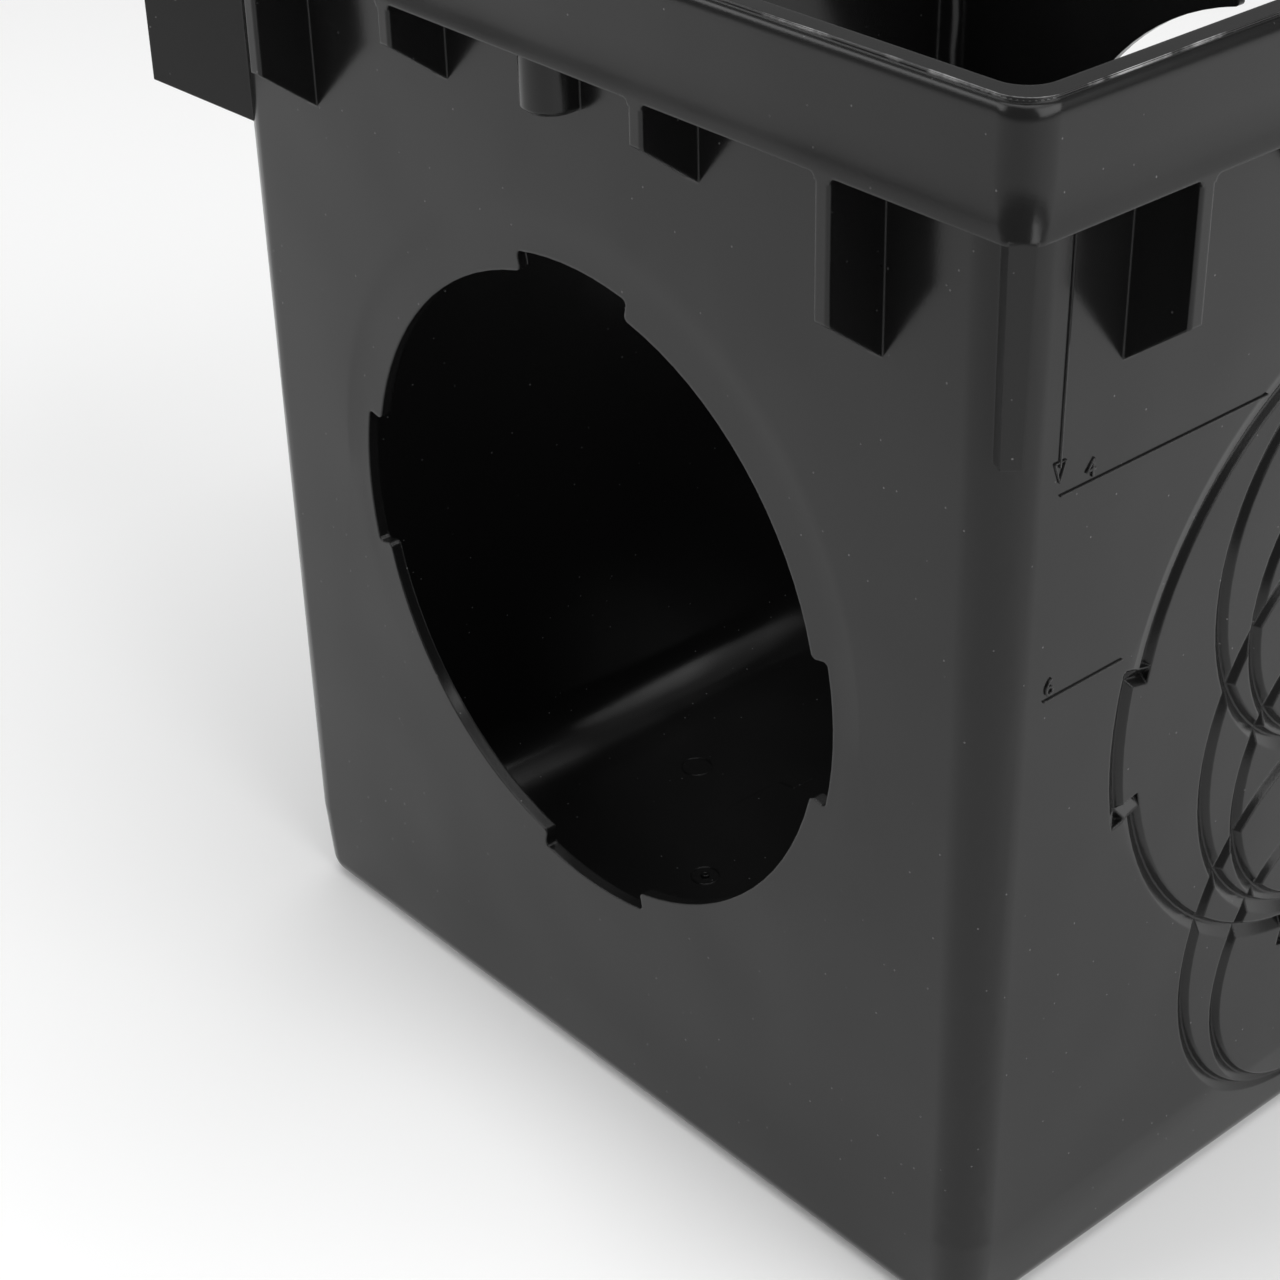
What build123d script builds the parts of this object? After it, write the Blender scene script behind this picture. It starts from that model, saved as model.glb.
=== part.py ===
from build123d import *

import os
from math import cos, radians, sin, sqrt, tan

# A square catch basin for drains, moulded in one piece. Millimetres, +Z up.
# The origin is in the middle of the underside. The front (-Y) and the back (+Y) have open pipe
# sockets, the right (+X) and the left (-X) have grooves to cut along for pipes of other sizes.

# Overall size
width = 309.0  # over the lip, the same both ways
height = 332.0

# Rim: a flat land, a low step, a round shoulder, the collar wall, a flare and the lip under it
lip_drop = 27.5  # rim to the underside of the lip
lip_height = 0.9
flare_height = 11.0
flare_reach = 1.2
collar_corner = 8.5
shoulder_drop = 3.4
shoulder_reach = 1.1
rim_steps = 4  # facets down each curve of the rim
step_height = 1.0
step_reach = 0.4
land_width = 5.1
recess_corner = 7.5

# Seat for the grate, inside the rim
seat_thickness = 3.1

# Walls and floor
flange_overhang = 16.1  # lip beyond the wall's top
wall = 3.5
floor_thickness = 3.5
wall_draft = 0.27  # degrees
band_height = 26.5  # base band, which leans in more than the wall above it
band_draft = 4.3  # degrees
foot_corner = 9.0  # upright corner at the underside, which widens with the draft
foot_round = 7.5
inner_corner = 7.5
floor_cove = 20.0  # hollow rounding between the floor and the walls, inside
cove_steps = 6

# Pipe sockets: a round opening with four bayonet notches in a plumb pad
pipe_axis_height = 157.5
socket_radius = 84.7
notch_reach = 5.1
notch_half_angle = 13.0
notch_corner_round = 1.5
pad_inset = 1.0  # pad plane behind the wall's top
pad_margin = 3.2  # flat ring round the notches
pad_blend = 12.0  # soft rim where the pad fades into the leaning wall

# Knockouts: V-shaped grooves round the plates to cut out, shallow outside and steep inside
groove_width = 4.5
groove_depth = 2.0
groove_slope = 3.2  # outer edge to the deepest line
knockout_pad_margin = 0.4
knockout_pad_blend = 4.0
knockout_radius = 90.5  # largest plate, with notches like the sockets'
knockout_notch_reach = 5.3
ring_radius = 61.5
small_ring_radius = 47.6
small_ring_gap = 0.5  # between the rings' outer edges where they come closest
ring_shift = 25.0  # upper two rings above and below the pipe axis
low_ring_clearance = 10.5  # underside to the lowest ring's outer edge
low_ring_lean = 0.4  # degrees, the lowest pair turned in towards the base band

# Webs under the lip, four on each side
web_thickness = 4.4
web_flare = 1.5
web_edge_round = 0.9
tall_web_inset = 37.4  # from the wall's corner line
tall_web_drop = 32.1  # lip to the foot of the outer edge
tall_web_root_drop = 45.5  # lip to the foot at the wall
short_web_offset = 44.5  # from the middle of the side
short_web_drop = 10.2
short_web_root_drop = 23.5

# Corner ribs under the lip, on the diagonals
rib_top_thickness = 5.5
rib_foot_thickness = 4.2
rib_drop = 46.8
rib_root_drop = 59.0

# Bosses for the grate's screws, one in the middle of each side
boss_radius = 7.2
boss_inset = 5.6  # from the recess wall
boss_drop = 17.0  # lip to the boss's foot
boss_foot_bevel = 1.2
pilot_radius = 2.1
pilot_depth = 15.0

# Places worked out from the sizes above
lip_half = width / 2
lip_corner = rib_top_thickness / 2 / (sqrt(2) - 1)  # its crest is flush with the rib's outer face
lip_level = height - lip_drop
flare_level = lip_level + lip_height
collar_half = lip_half - flare_reach
collar_level = flare_level + flare_height
land_half = collar_half - shoulder_reach - step_reach
land_level = height - step_height
shoulder_level = land_level - shoulder_drop
recess_half = land_half - land_width
seat_level = lip_level + seat_thickness
wall_half = lip_half - flange_overhang
band_half = wall_half - (lip_level - band_height) * tan(radians(wall_draft))
foot_half = band_half - band_height * tan(radians(band_draft))
pad_half = wall_half - pad_inset
pad_radius = socket_radius + notch_reach + pad_margin
knockout_pad_radius = knockout_radius + knockout_pad_margin
body_corner = foot_corner + wall_half - foot_half
low_ring_height = low_ring_clearance + ring_radius
small_ring_shift = ring_radius - small_ring_radius - small_ring_gap
tall_web_offset = wall_half - tall_web_inset
boss_half = recess_half - boss_inset
root_half = wall_half - wall / 2


def outer_half(level):
    """Half width of the body's outer face at a height."""
    if level < band_height:
        return foot_half + level * tan(radians(band_draft))
    return band_half + (level - band_height) * tan(radians(wall_draft))


def inner_half(level):
    """Half width of the hollow at a height above the cove."""
    return outer_half(band_height) - wall + (level - band_height) * tan(radians(wall_draft))


def corner_reach(half_width, corner_radius):
    """Distance from the axis to a rounded corner, along the diagonal."""
    return (half_width - corner_radius) * sqrt(2) + corner_radius


def pad_face(turn, level):
    """Plumb pad plane of side 0 (front), 1 (right), 2 (back) or 3, centred at a height."""
    angle = radians(90 * turn)
    sideways = Vector(cos(angle), sin(angle), 0)
    outward = Vector(sin(angle), -cos(angle), 0)
    return Plane(origin=outward * pad_half + Vector(0, 0, level), x_dir=sideways, z_dir=outward)


def socket_outline(radius, notch_radius):
    """Circle with four bayonet notches, in the middle of a side."""
    with BuildSketch() as outline:
        Circle(radius)
        for quarter in range(4):
            with BuildLine():
                crest = CenterArc((0, 0), notch_radius, 90 * quarter - notch_half_angle, 2 * notch_half_angle)
                Line(crest @ 1, (0, 0))
                Line((0, 0), crest @ 0)
            make_face()
        fillet(outline.vertices(), notch_corner_round)
    return outline.sketch


def web(drop, root_drop):
    """Web under the lip on the front side, at the middle, with flared ends under the lip."""
    top = lip_level + lip_height / 2
    with BuildPart() as piece:
        with BuildSketch(Plane.YZ):
            with BuildLine():
                Polyline(
                    (-root_half, top),
                    (-lip_half, top),
                    (-lip_half, lip_level - drop),
                    (-root_half, lip_level - root_drop),
                    close=True,
                )
            make_face()
        extrude(amount=web_thickness / 2, both=True)
        strip = faces().sort_by(Axis.Y)[0]
        fillet(strip.edges().filter_by(Axis.Z), web_edge_round)
        with BuildSketch(Plane.XZ.offset(root_half)) as flare:
            for way in (-1, 1):
                side = way * web_thickness / 2
                reach = side + way * web_flare
                with BuildLine():
                    bend = RadiusArc((side, lip_level - web_flare), (reach, lip_level), way * web_flare)
                    Polyline(bend @ 1, (reach, top), (0, top), (0, lip_level - web_flare), bend @ 0)
                make_face()
        extrude(amount=lip_half - root_half)
    return piece.part


def corner_rib():
    """Rib under the lip on the diagonal between front and right, thinner towards its foot."""
    outward = (sqrt(0.5), -sqrt(0.5), 0)
    root = corner_reach(wall_half, body_corner) - wall / 2
    reach = corner_reach(lip_half, lip_corner)
    top = flare_level
    with BuildPart() as piece:
        with BuildSketch(Plane(origin=(0, 0, 0), x_dir=outward, z_dir=(-sqrt(0.5), -sqrt(0.5), 0))):
            with BuildLine():
                Polyline(
                    (root, top),
                    (reach, top),
                    (reach, lip_level - rib_drop),
                    (root, lip_level - rib_root_drop),
                    close=True,
                )
            make_face()
        extrude(amount=rib_top_thickness, both=True)
        with BuildSketch(Plane(origin=(0, 0, 0), x_dir=(sqrt(0.5), sqrt(0.5), 0), z_dir=outward)):
            with BuildLine():
                Polyline(
                    (-rib_top_thickness / 2, top),
                    (rib_top_thickness / 2, top),
                    (rib_foot_thickness / 2, lip_level - rib_root_drop),
                    (-rib_foot_thickness / 2, lip_level - rib_root_drop),
                    close=True,
                )
            make_face()
        extrude(amount=2 * reach, mode=Mode.INTERSECT)
    return piece.part


def screw_boss():
    """Boss under the seat on the front side, round in front and merged with the wall behind."""
    with BuildPart() as piece:
        with BuildSketch(Plane.XY.offset(lip_level - boss_drop)):
            with BuildLine():
                nose = CenterArc((0, -boss_half), boss_radius, 180, 180)
                Polyline(nose @ 1, (boss_radius, -root_half), (-boss_radius, -root_half), nose @ 0)
            make_face()
        extrude(amount=boss_drop + seat_thickness / 2)
        foot_edges = piece.faces().sort_by(Axis.Z)[0].edges().sort_by(Axis.Y)
        chamfer(foot_edges[:-1], boss_foot_bevel)
    return piece.part


def pad_cutter(radius, blend):
    """Cutter of a pad in the XY plane: a flat disc whose rim rises softly, then steeper."""
    with BuildPart() as piece:
        with BuildSketch(Plane.XZ):
            with BuildLine():
                Polyline(
                    (0, 0),
                    (radius, 0),
                    (radius + 0.45 * blend, 0.3 * pad_inset),
                    (radius + 2.3 * blend, 2 * pad_inset),
                    (0, 2 * pad_inset),
                    close=True,
                )
            make_face()
        revolve(axis=Axis.Z)
    return piece.part


def groove_section(outer, inward):
    """Section of a groove whose surface is the first axis, and whose inner side lies +1 or -1."""
    widen = pad_inset / groove_depth
    with BuildSketch() as section:
        with BuildLine():
            Polyline(
                (outer + inward * groove_slope, -groove_depth),
                (outer - inward * groove_slope * widen, pad_inset),
                (outer + inward * (groove_width + (groove_width - groove_slope) * widen), pad_inset),
                close=True,
            )
        make_face()
    return section.sketch


def groove(radius, start, arc):
    """Groove along an arc round the origin, in a plate whose face is the XY plane."""
    with BuildPart() as piece:
        with BuildSketch(Plane.XZ):
            add(groove_section(radius, -1))
        revolve(axis=Axis.Z, revolution_arc=arc)
    return piece.part.rotate(Axis.Z, start)


def groove_step(side):
    """Groove across the step from the large plate's rim out to a notch, at a notch's end."""
    with BuildPart() as piece:
        with BuildSketch(Plane.YZ.offset(knockout_radius - groove_width)):
            add(groove_section(0, -side))
        extrude(amount=knockout_notch_reach + groove_width)
    return piece.part.rotate(Axis.Z, side * notch_half_angle)


tall_web = web(tall_web_drop, tall_web_root_drop)
short_web = web(short_web_drop, short_web_root_drop)
rib = corner_rib()
boss = screw_boss()

# The hollow inside, with coved corners along the floor
with BuildPart() as hollow:
    cove_level = floor_thickness + floor_cove
    for step in range(cove_steps + 1):
        angle = radians(90 * step / cove_steps)
        half = inner_half(cove_level) - floor_cove * (1 - sin(angle))
        with BuildSketch(Plane.XY.offset(floor_thickness + floor_cove * (1 - cos(angle)))):
            RectangleRounded(2 * half, 2 * half, inner_corner)
    loft(ruled=True)
    with BuildSketch(Plane.XY.offset(cove_level)):
        RectangleRounded(2 * inner_half(cove_level), 2 * inner_half(cove_level), inner_corner)
    extrude(amount=seat_level - cove_level, taper=-wall_draft)

# Grooves of the large notched plate
with BuildPart() as large_grooves:
    for quarter in range(4):
        middle = 90 * quarter
        add(groove(knockout_radius, middle + notch_half_angle, 90 - 2 * notch_half_angle))
        add(groove(knockout_radius + knockout_notch_reach, middle - notch_half_angle, 2 * notch_half_angle))
        for way in (-1, 1):
            add(groove_step(way).rotate(Axis.Z, middle))

# Grooves of one pair of round plates, the small one set low in the other
with BuildPart() as ring_grooves:
    add(groove(ring_radius, 0, 360))
    with Locations((0, -small_ring_shift, 0)):
        add(groove(small_ring_radius, 0, 360))

with BuildPart() as basin_body:
    # Outer form of the box, wider towards the top, with a base band that leans in
    with BuildSketch():
        RectangleRounded(2 * foot_half, 2 * foot_half, foot_corner)
    extrude(amount=band_height, taper=-band_draft)
    with BuildSketch(Plane.XY.offset(band_height)):
        RectangleRounded(2 * band_half, 2 * band_half, foot_corner + band_half - foot_half)
    extrude(amount=seat_level - band_height, taper=-wall_draft)
    fillet(faces().sort_by(Axis.Z)[0].edges(), foot_round)

    # Flange: lip, flare, collar and shoulder, then the raised land
    rim_sections = [(lip_half, lip_corner, lip_level)]
    for step in range(rim_steps + 1):
        share = step / rim_steps
        half = collar_half + flare_reach * (1 - share) ** 2
        corner = lip_corner + share * (collar_corner - lip_corner)
        rim_sections.append((half, corner, flare_level + share * flare_height))
    for step in range(rim_steps + 1):
        angle = radians(90 * step / rim_steps)
        half = collar_half - shoulder_reach * (1 - cos(angle))
        rim_sections.append((half, collar_corner, shoulder_level + shoulder_drop * sin(angle)))
    for half, corner, level in rim_sections:
        with BuildSketch(Plane.XY.offset(level)):
            RectangleRounded(2 * half, 2 * half, corner)
    loft(ruled=True)
    with BuildSketch(Plane.XY.offset(land_level)):
        RectangleRounded(2 * land_half, 2 * land_half, collar_corner)
    extrude(amount=step_height)

    # Recess for the grate, down to its seat, and the hollow below
    with BuildSketch(Plane.XY.offset(seat_level)):
        RectangleRounded(2 * recess_half, 2 * recess_half, recess_corner)
    extrude(amount=height, mode=Mode.SUBTRACT)
    add(hollow.part, mode=Mode.SUBTRACT)

    # Plumb pads that fade into the leaning wall
    with Locations([pad_face(turn, pipe_axis_height) for turn in (0, 2)]):
        add(pad_cutter(pad_radius, pad_blend), mode=Mode.SUBTRACT)
    with Locations([pad_face(turn, pipe_axis_height) for turn in (1, 3)]):
        add(pad_cutter(knockout_pad_radius, knockout_pad_blend), mode=Mode.SUBTRACT)

    # Pipe sockets in the front and the back
    for turn in (0, 2):
        with BuildSketch(pad_face(turn, pipe_axis_height)):
            add(socket_outline(socket_radius, socket_radius + notch_reach))
        extrude(amount=-2 * wall, mode=Mode.SUBTRACT)

    # Knockouts on the right and the left
    with Locations([pad_face(turn, pipe_axis_height) for turn in (1, 3)]):
        add(large_grooves.part, mode=Mode.SUBTRACT)
    for shift in (ring_shift, -ring_shift):
        with Locations([pad_face(turn, pipe_axis_height + shift) for turn in (1, 3)]):
            add(ring_grooves.part, mode=Mode.SUBTRACT)
    with Locations([pad_face(turn, low_ring_height).rotated((low_ring_lean, 0, 0)) for turn in (1, 3)]):
        add(ring_grooves.part, mode=Mode.SUBTRACT)

    # Webs, corner ribs and screw bosses under the lip
    with PolarLocations(0, 4):
        with Locations((tall_web_offset, 0, 0), (-tall_web_offset, 0, 0)):
            add(tall_web)
        with Locations((short_web_offset, 0, 0), (-short_web_offset, 0, 0)):
            add(short_web)
        add(rib)
        add(boss)
    with Locations(Plane.XY.offset(seat_level)):
        with PolarLocations(boss_half, 4):
            Hole(pilot_radius, pilot_depth)

basin_body.part.label = "basin_body"
os.makedirs("parts", exist_ok=True)
export_step(basin_body.part, "parts/basin_body.step")
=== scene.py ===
from math import cos, pi, radians, sin, tan
from random import Random

import bmesh
import bpy
from mathutils import Matrix, Vector


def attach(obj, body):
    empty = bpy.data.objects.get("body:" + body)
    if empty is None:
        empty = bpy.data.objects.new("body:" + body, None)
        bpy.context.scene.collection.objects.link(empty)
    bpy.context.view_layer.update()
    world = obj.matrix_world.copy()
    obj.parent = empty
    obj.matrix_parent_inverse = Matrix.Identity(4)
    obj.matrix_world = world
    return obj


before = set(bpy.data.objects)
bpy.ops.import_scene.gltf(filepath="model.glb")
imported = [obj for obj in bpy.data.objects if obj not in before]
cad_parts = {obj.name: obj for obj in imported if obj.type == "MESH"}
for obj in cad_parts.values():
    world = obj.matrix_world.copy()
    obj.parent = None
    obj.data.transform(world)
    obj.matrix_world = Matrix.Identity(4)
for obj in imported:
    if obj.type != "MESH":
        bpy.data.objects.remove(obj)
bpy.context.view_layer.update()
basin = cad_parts["basin_body"]

MM = 0.001

# Sizes of the basin that the added pieces sit on, as the part has them, in metres
HEIGHT = 332.0 * MM
LAND_HALF = 151.8 * MM
LAND_CORNER = 8.5 * MM
WALL_TOP_HALF = 138.4 * MM
WALL_TOP_LEVEL = 304.5 * MM
WALL_DRAFT = tan(radians(0.27))
FLOOR_LEVEL = 3.5 * MM

# Edges that turn by more than this stay sharp in the shading
SHARP_ANGLE = radians(30)

# The plastic: its grey, its roughness, its clear reflection, and how round its edges are in the light
PLASTIC_LEVEL = 0.0055
PLASTIC_ROUGHNESS = 0.18
SHEEN_LEVEL = 0.32
EDGE_ROUND = 0.8 * MM

# How far the raised lines reach into the surface that they stand on
RIDGE_ROOT = 0.6 * MM

# Marks on the right-hand wall: two depth lines and an arrow, each point as (place along Y, level)
MARK_WIDTH = 0.7 * MM
MARK_HEIGHT = 0.4 * MM
UPPER_LINE = [(-120.3 * MM, 234.5 * MM), (-51.8 * MM, 234.5 * MM)]
LOWER_LINE = [(-121.2 * MM, 183.7 * MM), (-95.3 * MM, 183.7 * MM)]
ARROW_SHAFT = [(-121.0 * MM, 294.0 * MM), (-121.0 * MM, 241.5 * MM)]
ARROW_TIP = (-121.0 * MM, 238.0 * MM)
ARROW_LEFT = (-122.7 * MM, 242.8 * MM)
ARROW_RIGHT = (-119.3 * MM, 242.8 * MM)
ARROW_HEAD = [ARROW_LEFT, ARROW_TIP, ARROW_RIGHT, ARROW_LEFT]

# The numbers beside the depth lines
NUMBER_SIZE = 6.4 * MM
NUMBER_CURVE_STEPS = 3

# Traces of the mould on the floor inside, each point as (X, Y)
EJECTOR_PLACE = (-93 * MM, -17 * MM)
EJECTOR_RADIUS = 5 * MM
GATE_PLACE = (-47 * MM, -55 * MM)
GATE_RING_RADIUS = 4.4 * MM
GATE_PIP_RADIUS = 0.9 * MM
FLOOR_STEP = [(-69 * MM, -26 * MM), (-69 * MM, -3.4 * MM), (-62.5 * MM, -2.4 * MM), (-62.5 * MM, 6 * MM)]

# Flash along the land's outer edge: how its outline is divided, and its section
SIDE_STEPS = 200
CORNER_STEPS = 12
FLASH_INSET = 0.1 * MM
FLASH_WIDTH = 0.28 * MM

# Height of the flash: the seed of its draws and the count of its swells, then in millimetres
# what it has everywhere, what a swell adds and what raggedness adds
FLASH_SEED = 7
FLASH_SWELLS = 60
FLASH_LEAST = 0.04
FLASH_SWELL = 0.34
FLASH_RAGGED = 0.03

# Studio: how far the floor reaches, the paper's grey, the light from all round, and where lamps point
FLOOR_REACH = 4.0
PAPER_LEVEL = 0.88
WORLD_STRENGTH = 0.28
BASIN_MIDDLE = (0, 0, 0.15)
BASIN_FOOT = (0, 0, 0)

# Camera, as it stood for the photograph
CAMERA_PLACE = Vector((0.46912, -0.51645, 0.51493))
CAMERA_YAW = radians(49.71)
CAMERA_PITCH = radians(31.6)
CAMERA_ROLL = radians(-1.47)
CAMERA_LENS = 78.43
SENSOR_WIDTH = 36.0


def grey(level):
    """Opaque grey."""
    return (level, level, level, 1.0)


def new_material(name, shader_type):
    """New material that is one shader: the material, its node tree, the shader and its coordinates."""
    material = bpy.data.materials.new(name)
    material.use_nodes = True
    tree = material.node_tree
    tree.nodes.clear()
    output = tree.nodes.new("ShaderNodeOutputMaterial")
    shader = tree.nodes.new(shader_type)
    tree.links.new(shader.outputs["BSDF"], output.inputs["Surface"])
    place = tree.nodes.new("ShaderNodeTexCoord").outputs["Object"]
    return material, tree, shader, place


def noise(tree, place, scale, detail=2.0, roughness=0.5, distortion=0.0):
    """Value of a noise texture."""
    node = tree.nodes.new("ShaderNodeTexNoise")
    node.inputs["Scale"].default_value = scale
    node.inputs["Detail"].default_value = detail
    node.inputs["Roughness"].default_value = roughness
    node.inputs["Distortion"].default_value = distortion
    tree.links.new(place, node.inputs["Vector"])
    return node.outputs["Fac"]


def ramp(tree, value, first_stop, last_stop):
    """Grey that follows a value between two stops; each stop is (value, grey level)."""
    node = tree.nodes.new("ShaderNodeValToRGB")
    for element, (position, level) in zip(node.color_ramp.elements, (first_stop, last_stop)):
        element.position = position
        element.color = grey(level)
    tree.links.new(value, node.inputs["Fac"])
    return node.outputs["Color"]


def bump(tree, height, strength, distance, normal=None):
    """Normal of a relief, on top of another normal where one is given."""
    node = tree.nodes.new("ShaderNodeBump")
    node.inputs["Strength"].default_value = strength
    node.inputs["Distance"].default_value = distance
    tree.links.new(height, node.inputs["Height"])
    if normal is not None:
        tree.links.new(normal, node.inputs["Normal"])
    return node.outputs["Normal"]


def added(tree, first, second):
    """Sum of two colours."""
    node = tree.nodes.new("ShaderNodeMix")
    node.data_type = "RGBA"
    node.blend_type = "ADD"
    node.inputs["Factor"].default_value = 1.0
    tree.links.new(first, node.inputs["A"])
    tree.links.new(second, node.inputs["B"])
    return node.outputs["Result"]


def black_plastic(name):
    """Satin moulded black plastic: cloudy tone, fine grain, rub marks and pale specks of dust."""
    material, tree, shader, place = new_material(name, "ShaderNodeBsdfPrincipled")
    shader.inputs["IOR"].default_value = 1.5
    shader.inputs["Specular IOR Level"].default_value = SHEEN_LEVEL

    # Colour: slow cloudy variation, a few paler rub marks, and the specks
    cloud = noise(tree, place, scale=9.0, detail=3.0)
    tone = ramp(tree, cloud, (0.3, PLASTIC_LEVEL * 0.9), (0.7, PLASTIC_LEVEL * 1.12))
    rub = noise(tree, place, scale=60.0, detail=6.0, roughness=0.7, distortion=0.4)
    rub_marks = ramp(tree, rub, (0.66, 0.0), (0.8, PLASTIC_LEVEL * 0.9))
    dust = tree.nodes.new("ShaderNodeTexVoronoi")
    dust.inputs["Scale"].default_value = 190.0
    tree.links.new(place, dust.inputs["Vector"])
    specks = ramp(tree, dust.outputs["Distance"], (0.03, 0.09), (0.055, 0.0))
    worn = added(tree, tone, rub_marks)
    tree.links.new(added(tree, worn, specks), shader.inputs["Base Color"])

    # Gloss: uneven satin
    streak = noise(tree, place, scale=22.0, detail=4.0, roughness=0.6)
    gloss = ramp(tree, streak, (0.25, PLASTIC_ROUGHNESS - 0.03), (0.75, PLASTIC_ROUGHNESS + 0.06))
    tree.links.new(gloss, shader.inputs["Roughness"])

    # Relief: edges slightly rounded, slight waviness of the moulded wall, and a fine grain
    edges = tree.nodes.new("ShaderNodeBevel")
    edges.samples = 6
    edges.inputs["Radius"].default_value = EDGE_ROUND
    wave = noise(tree, place, scale=17.0, detail=1.0)
    wavy = bump(tree, wave, strength=0.25, distance=0.0045, normal=edges.outputs["Normal"])
    grain = noise(tree, place, scale=1400.0)
    fine = bump(tree, grain, strength=0.12, distance=0.0001, normal=wavy)
    tree.links.new(fine, shader.inputs["Normal"])
    return material


def raw_edge(name):
    """Thin torn plastic, gone pale in patches where it was cut off."""
    material, tree, shader, place = new_material(name, "ShaderNodeBsdfPrincipled")
    patches = noise(tree, place, scale=45.0, detail=5.0, roughness=0.7)
    tree.links.new(ramp(tree, patches, (0.48, 0.010), (0.64, 0.36)), shader.inputs["Base Color"])
    tree.links.new(ramp(tree, patches, (0.3, 0.3), (0.7, 0.6)), shader.inputs["Roughness"])
    grain = noise(tree, place, scale=900.0)
    tree.links.new(bump(tree, grain, strength=0.4, distance=0.0002), shader.inputs["Normal"])
    return material


def seamless_paper(name):
    """Plain pale paper, one tone all over, with a faint fibre in its surface."""
    material, tree, shader, place = new_material(name, "ShaderNodeBsdfDiffuse")
    shader.inputs["Color"].default_value = grey(PAPER_LEVEL)
    fibre = noise(tree, place, scale=500.0)
    tree.links.new(bump(tree, fibre, strength=0.1, distance=0.0001), shader.inputs["Normal"])
    return material


def smooth_over(piece):
    """Weld the mesh and shade it smooth, except over sharp edges, with its flats kept flat."""
    weld = piece.modifiers.new("weld", "WELD")
    weld.merge_threshold = 1e-6
    tree = bpy.data.node_groups.new("smooth_except_sharp", "GeometryNodeTree")
    tree.interface.new_socket("Geometry", in_out="INPUT", socket_type="NodeSocketGeometry")
    tree.interface.new_socket("Geometry", in_out="OUTPUT", socket_type="NodeSocketGeometry")
    start = tree.nodes.new("NodeGroupInput")
    end = tree.nodes.new("NodeGroupOutput")
    angle = tree.nodes.new("GeometryNodeInputMeshEdgeAngle")
    sharp = tree.nodes.new("ShaderNodeMath")
    sharp.operation = "GREATER_THAN"
    sharp.inputs[1].default_value = SHARP_ANGLE
    tree.links.new(angle.outputs["Unsigned Angle"], sharp.inputs[0])
    faces = tree.nodes.new("GeometryNodeSetShadeSmooth")
    faces.domain = "FACE"
    edges = tree.nodes.new("GeometryNodeSetShadeSmooth")
    edges.domain = "EDGE"
    edges.inputs["Shade Smooth"].default_value = False
    tree.links.new(start.outputs["Geometry"], faces.inputs["Geometry"])
    tree.links.new(faces.outputs["Geometry"], edges.inputs["Geometry"])
    tree.links.new(sharp.outputs["Value"], edges.inputs["Selection"])
    tree.links.new(edges.outputs["Geometry"], end.inputs["Geometry"])
    piece.modifiers.new("smooth", "NODES").node_group = tree
    weights = piece.modifiers.new("weights", "WEIGHTED_NORMAL")
    weights.keep_sharp = True
    weights.weight = 80


def placed(name, data):
    """Object with the given data, in the scene."""
    thing = bpy.data.objects.new(name, data)
    bpy.context.scene.collection.objects.link(thing)
    return thing


def mesh_object(name, mesh_builder, material):
    """Object from a function that fills a bmesh."""
    mesh = bpy.data.meshes.new(name)
    shape = bmesh.new()
    mesh_builder(shape)
    bmesh.ops.recalc_face_normals(shape, faces=shape.faces)
    shape.to_mesh(mesh)
    shape.free()
    mesh.materials.append(material)
    return placed(name, mesh)


def moulded(piece):
    """Piece that is part of the moulding."""
    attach(piece, "root")


def wall_half(level):
    """Half width of the body's outer wall at a height."""
    return WALL_TOP_HALF - (WALL_TOP_LEVEL - level) * WALL_DRAFT


def on_right_wall(across, level, lift):
    """Point on the right-hand wall (+X), lifted off it."""
    return Vector((wall_half(level) + lift, across, level))


def on_floor(across, along, lift):
    """Point on the floor inside, lifted off it."""
    return Vector((across, along, FLOOR_LEVEL + lift))


def on_land(across, along, lift):
    """Point on the rim's land, lifted off it."""
    return Vector((across, along, HEIGHT + lift))


def ridge(shape, points, width, heights, place, closed=False):
    """Raised line with sloping sides along points; place puts (u, v, lift) on a surface."""
    rows = []
    last = len(points) - 1
    for index, point in enumerate(points):
        before = points[index - 1] if closed or index > 0 else point
        after = points[(index + 1) % len(points)] if closed or index < last else point
        along = (Vector(after) - Vector(before)).normalized()
        across = Vector((-along.y, along.x)) * width / 2
        lift = heights[index] if isinstance(heights, list) else heights
        section = [(-1.0, -RIDGE_ROOT), (-0.55, lift), (0.55, lift), (1.0, -RIDGE_ROOT)]
        spots = [(Vector(point) + reach * across, up) for reach, up in section]
        rows.append([shape.verts.new(place(*spot, up)) for spot, up in spots])
    for first, second in zip(rows, rows[1:] + (rows[:1] if closed else [])):
        for low, high in ((0, 1), (1, 2), (2, 3), (3, 0)):
            shape.faces.new((first[low], first[high], second[high], second[low]))
    if not closed:
        shape.faces.new(rows[0])
        shape.faces.new(rows[-1])


def circle(centre, radius, steps):
    """Points round a circle."""
    turns = [2 * pi * step / steps for step in range(steps)]
    return [(centre[0] + radius * cos(turn), centre[1] + radius * sin(turn)) for turn in turns]


def rounded_square(half, corner):
    """Points round a square with rounded corners."""
    points = []
    centre = half - corner
    for quarter in range(4):
        turn = quarter * pi / 2
        side = [(half, -centre + 2 * centre * step / SIDE_STEPS) for step in range(SIDE_STEPS)]
        bend = [radians(90 * step / CORNER_STEPS) for step in range(CORNER_STEPS)]
        side += [(centre + corner * cos(angle), centre + corner * sin(angle)) for angle in bend]
        points += [(x * cos(turn) - y * sin(turn), x * sin(turn) + y * cos(turn)) for x, y in side]
    return points


def depth_marks(shape):
    """Two depth lines, and the arrow that points down to them."""
    for line in (UPPER_LINE, LOWER_LINE, ARROW_SHAFT, ARROW_HEAD):
        ridge(shape, line, MARK_WIDTH, MARK_HEIGHT, on_right_wall)


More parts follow.
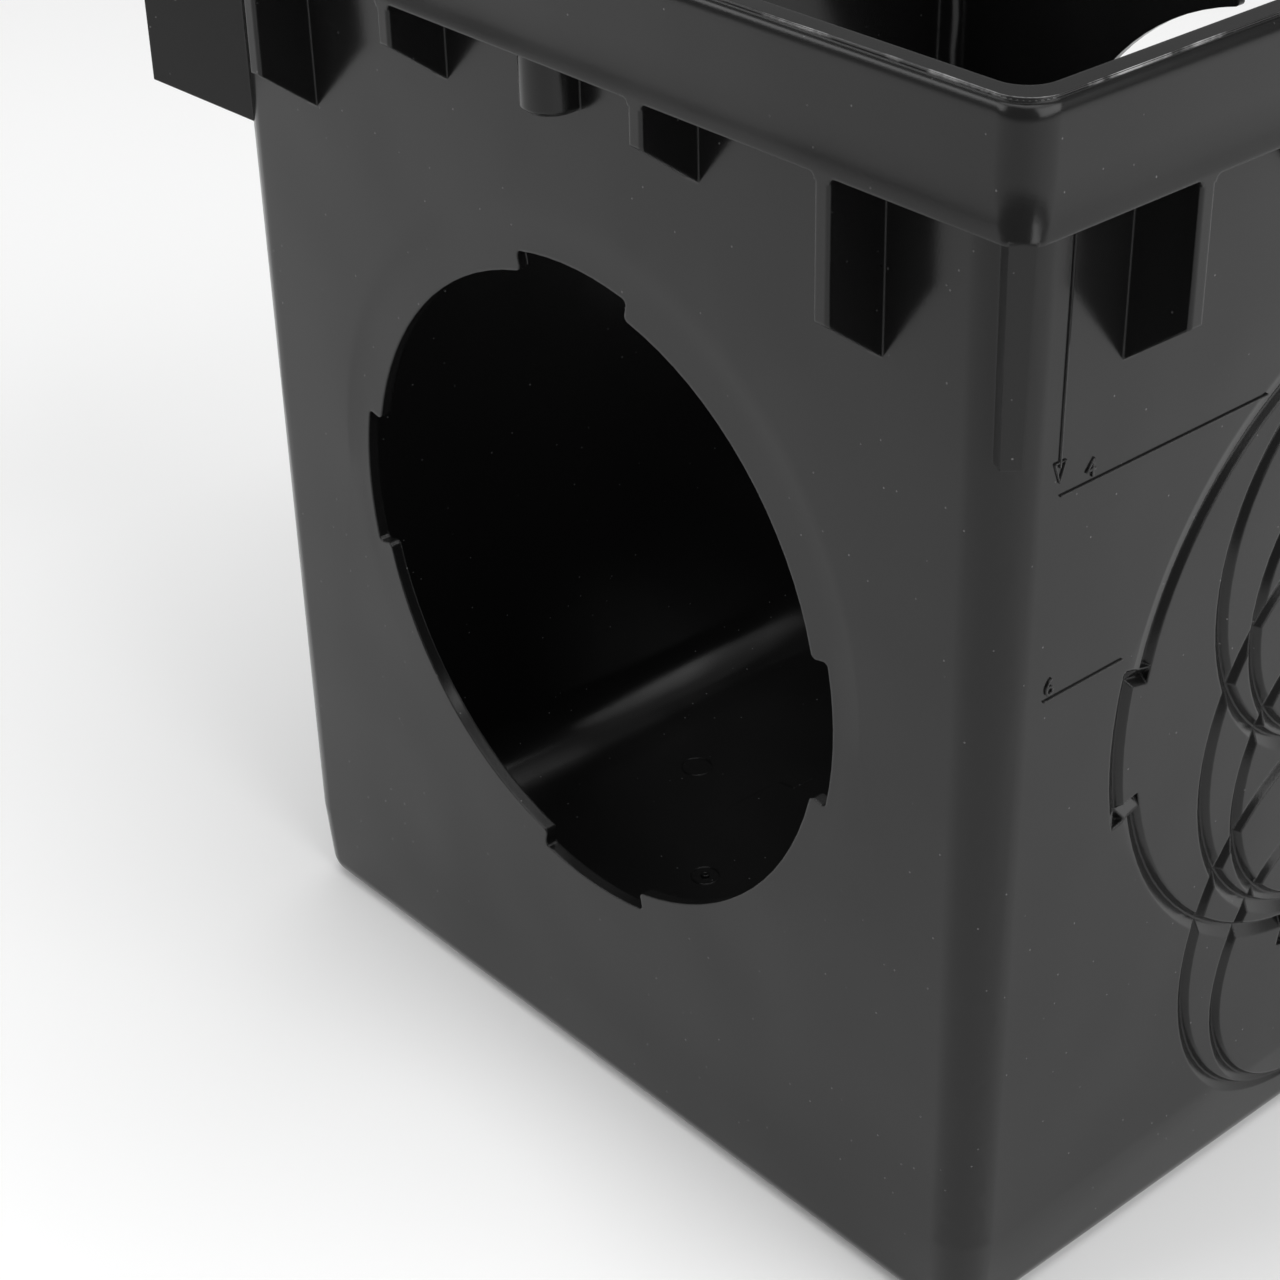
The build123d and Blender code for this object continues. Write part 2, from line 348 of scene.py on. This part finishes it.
def number(name, text, across, level, material):
    """Moulded number that stands on the right-hand wall."""
    curve = bpy.data.curves.new(name, "FONT")
    curve.body = text
    curve.size = NUMBER_SIZE
    curve.align_x = "CENTER"
    curve.extrude = MARK_HEIGHT
    curve.resolution_u = NUMBER_CURVE_STEPS
    outline = placed(name + "_outline", curve)
    bpy.context.view_layer.update()
    mesh = bpy.data.meshes.new_from_object(outline)
    bpy.data.objects.remove(outline)

    # From lying flat to upright on the wall: its right is +Y, its top is up and its face is +X
    mesh.transform(Matrix(((0, 0, 1), (1, 0, 0), (0, 1, 0))).to_4x4())
    mesh.transform(Matrix.Translation((wall_half(level), across, level)))
    mesh.materials.clear()
    mesh.materials.append(material)
    moulded(placed(name, mesh))


def mould_marks(shape):
    """An ejector's ring, the gate's ring and pip, and a faint step."""
    ejector_ring = circle(EJECTOR_PLACE, EJECTOR_RADIUS, steps=40)
    gate_ring = circle(GATE_PLACE, GATE_RING_RADIUS, steps=36)
    gate_pip = circle(GATE_PLACE, GATE_PIP_RADIUS, steps=16)
    ridge(shape, ejector_ring, width=0.6 * MM, heights=0.2 * MM, place=on_floor, closed=True)
    ridge(shape, gate_ring, width=0.7 * MM, heights=0.25 * MM, place=on_floor, closed=True)
    ridge(shape, gate_pip, width=1.4 * MM, heights=0.8 * MM, place=on_floor, closed=True)
    ridge(shape, FLOOR_STEP, width=0.8 * MM, heights=0.2 * MM, place=on_floor)


def land_flash(shape):
    """Thin ragged flash where the mould parts, along the land's outer edge."""
    chance = Random(FLASH_SEED)
    outline = rounded_square(LAND_HALF - FLASH_INSET, LAND_CORNER)
    swells = [chance.random() for _ in range(FLASH_SWELLS)]
    heights = []
    for index in range(len(outline)):
        spot = index * len(swells) / len(outline)
        here = swells[int(spot)]
        after = swells[(int(spot) + 1) % len(swells)]
        swell = here + (after - here) * (spot - int(spot))
        heights.append((FLASH_LEAST + FLASH_SWELL * swell * swell + FLASH_RAGGED * chance.random()) * MM)
    ridge(shape, outline, FLASH_WIDTH, heights, on_land, closed=True)


def floor_square(shape):
    """Level square round the basin's foot."""
    reach = FLOOR_REACH
    corners = [(-reach, -reach, 0), (reach, -reach, 0), (reach, reach, 0), (-reach, reach, 0)]
    shape.faces.new([shape.verts.new(corner) for corner in corners])


def softbox(name, place, target, width, height, power):
    """Rectangular lamp that faces a point."""
    data = bpy.data.lights.new(name, "AREA")
    data.shape = "RECTANGLE"
    data.size = width
    data.size_y = height
    data.energy = power
    lamp = placed(name, data)
    lamp.location = place
    lamp.rotation_euler = (Vector(target) - Vector(place)).to_track_quat("-Z", "Y").to_euler()


def plain_world():
    """Even white light from all round."""
    world = bpy.data.worlds.new("studio")
    bpy.context.scene.world = world
    world.use_nodes = True
    background = world.node_tree.nodes["Background"]
    background.inputs["Color"].default_value = grey(1.0)
    background.inputs["Strength"].default_value = WORLD_STRENGTH


def scene_camera():
    """Camera at the photograph's place and angle."""
    level_share = cos(CAMERA_PITCH)
    ahead = Vector((-sin(CAMERA_YAW) * level_share, cos(CAMERA_YAW) * level_share, -sin(CAMERA_PITCH)))
    level_right = Vector((cos(CAMERA_YAW), sin(CAMERA_YAW), 0))
    level_up = level_right.cross(ahead)
    right = cos(CAMERA_ROLL) * level_right + sin(CAMERA_ROLL) * level_up
    up = -sin(CAMERA_ROLL) * level_right + cos(CAMERA_ROLL) * level_up
    data = bpy.data.cameras.new("camera")
    data.sensor_width = SENSOR_WIDTH
    data.lens = CAMERA_LENS
    camera = placed("camera", data)
    turned = Matrix((right, up, -ahead)).transposed().to_4x4()
    camera.matrix_world = Matrix.Translation(CAMERA_PLACE) @ turned
    bpy.context.scene.camera = camera


# The moulding, in its plastic
smooth_over(basin)
plastic = black_plastic("satin_black_plastic")
basin.data.materials.clear()
basin.data.materials.append(plastic)

# What stands on its surfaces
moulded(mesh_object("depth_marks", depth_marks, plastic))
number("depth_number_upper", "4", -111.0 * MM, 235.6 * MM, plastic)
number("depth_number_lower", "6", -119.6 * MM, 184.8 * MM, plastic)
moulded(mesh_object("mould_marks", mould_marks, plastic))
flash = mesh_object("land_flash", land_flash, raw_edge("pale_raw_edge"))
flash.data.shade_smooth()
moulded(flash)

# Floor, light and camera
mesh_object("studio_floor", floor_square, seamless_paper("studio_paper"))
plain_world()
softbox("softbox_left", (-1.2, -1.6, 1.3), BASIN_MIDDLE, width=2.0, height=1.4, power=26.0)
softbox("softbox_right", (1.8, 0.3, 1.2), BASIN_MIDDLE, width=2.2, height=1.8, power=36.0)
softbox("softbox_top", (0, 0, 2.2), BASIN_FOOT, width=2.2, height=2.2, power=28.0)
scene_camera()

bpy.context.scene.view_settings.view_transform = "Standard"
